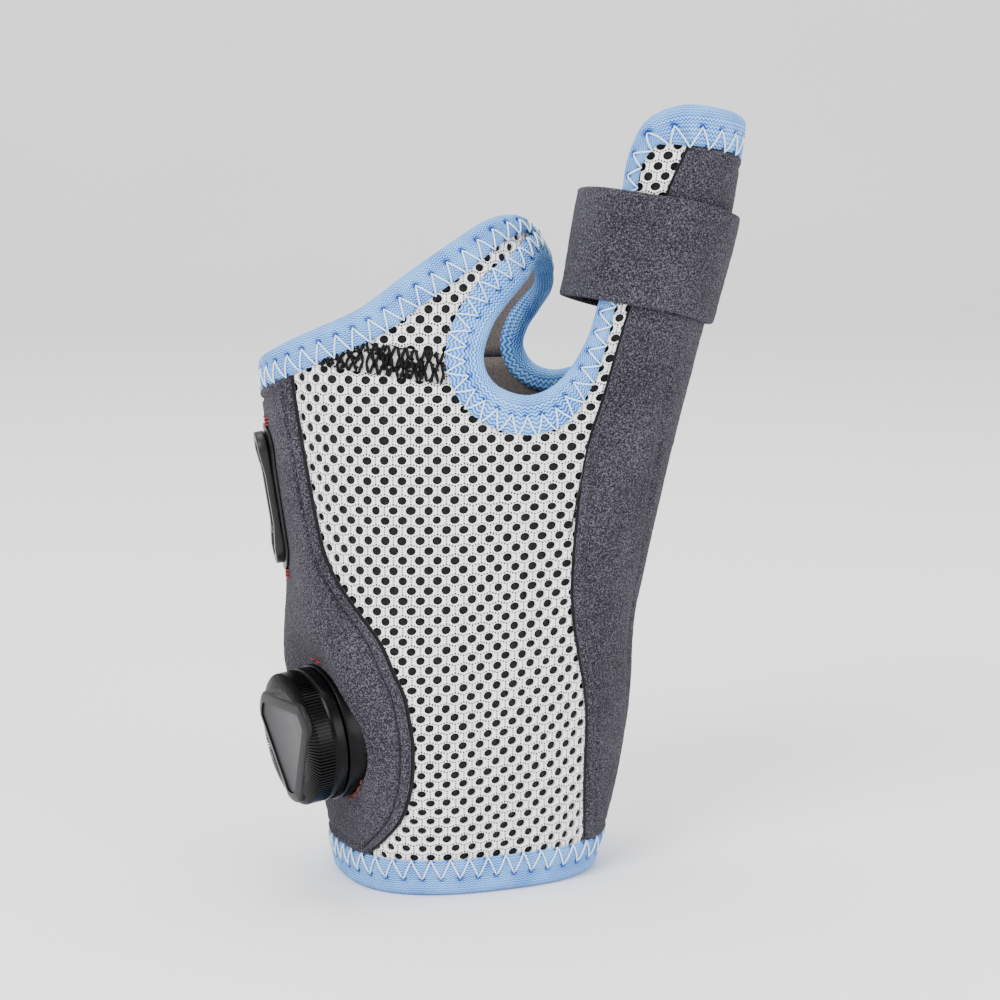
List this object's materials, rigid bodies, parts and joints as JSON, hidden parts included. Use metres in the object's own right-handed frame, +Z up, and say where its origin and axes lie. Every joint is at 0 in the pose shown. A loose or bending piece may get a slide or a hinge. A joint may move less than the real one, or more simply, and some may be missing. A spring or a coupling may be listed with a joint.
{
  "type": "wrist and thumb brace with lace dial",
  "caption": "Wrist and thumb brace: open-hole knit sleeve with folded edge bindings, a thumb sheath closed by a strap, and a rotary lace-tightening dial on the little-finger side.",
  "frame": {"origin": "middle of the bounding box's underside, on the surface the wrist rim stands on", "axes": "+Z up the brace from the wrist to the thumb tip, +X from the little-finger edge to the thumb, -Y out of the palm side"},
  "size_m": [0.1146, 0.0688, 0.1843],
  "materials": {
    "knit_mesh": "white open-hole spacer knit",
    "binding_blue": "light blue twill edge binding",
    "loop_charcoal": "charcoal brushed loop pile",
    "seam_black": "black overlocked seam",
    "dial_black": "satin black moulded plastic",
    "cap_grey": "satin dark grey moulded plastic"
  },
  "bodies": {
    "sleeve": {"front_mesh_panel": "knit_mesh", "back_mesh_panel": "knit_mesh", "web_strip": "knit_mesh", "front_seam": "seam_black", "back_seam": "seam_black", "finger_binding": "binding_blue", "thumb_binding": "binding_blue", "wrist_binding": "binding_blue", "ulnar_panel": "loop_charcoal", "thumb_panel": "loop_charcoal", "thumb_strap": "loop_charcoal", "dial_base": "dial_black", "lace_guide": "dial_black"},
    "dial": {"dial_knob": "dial_black", "dial_cap": "cap_grey"}
  },
  "joints": [
    {"name": "dial_turn", "type": "hinge", "parent": "sleeve", "child": "dial", "pos_m": [-0.0413, -0.0178, 0.0378], "axis": [-0.8703, -0.4801, -0.11], "continuous": true}
  ]
}
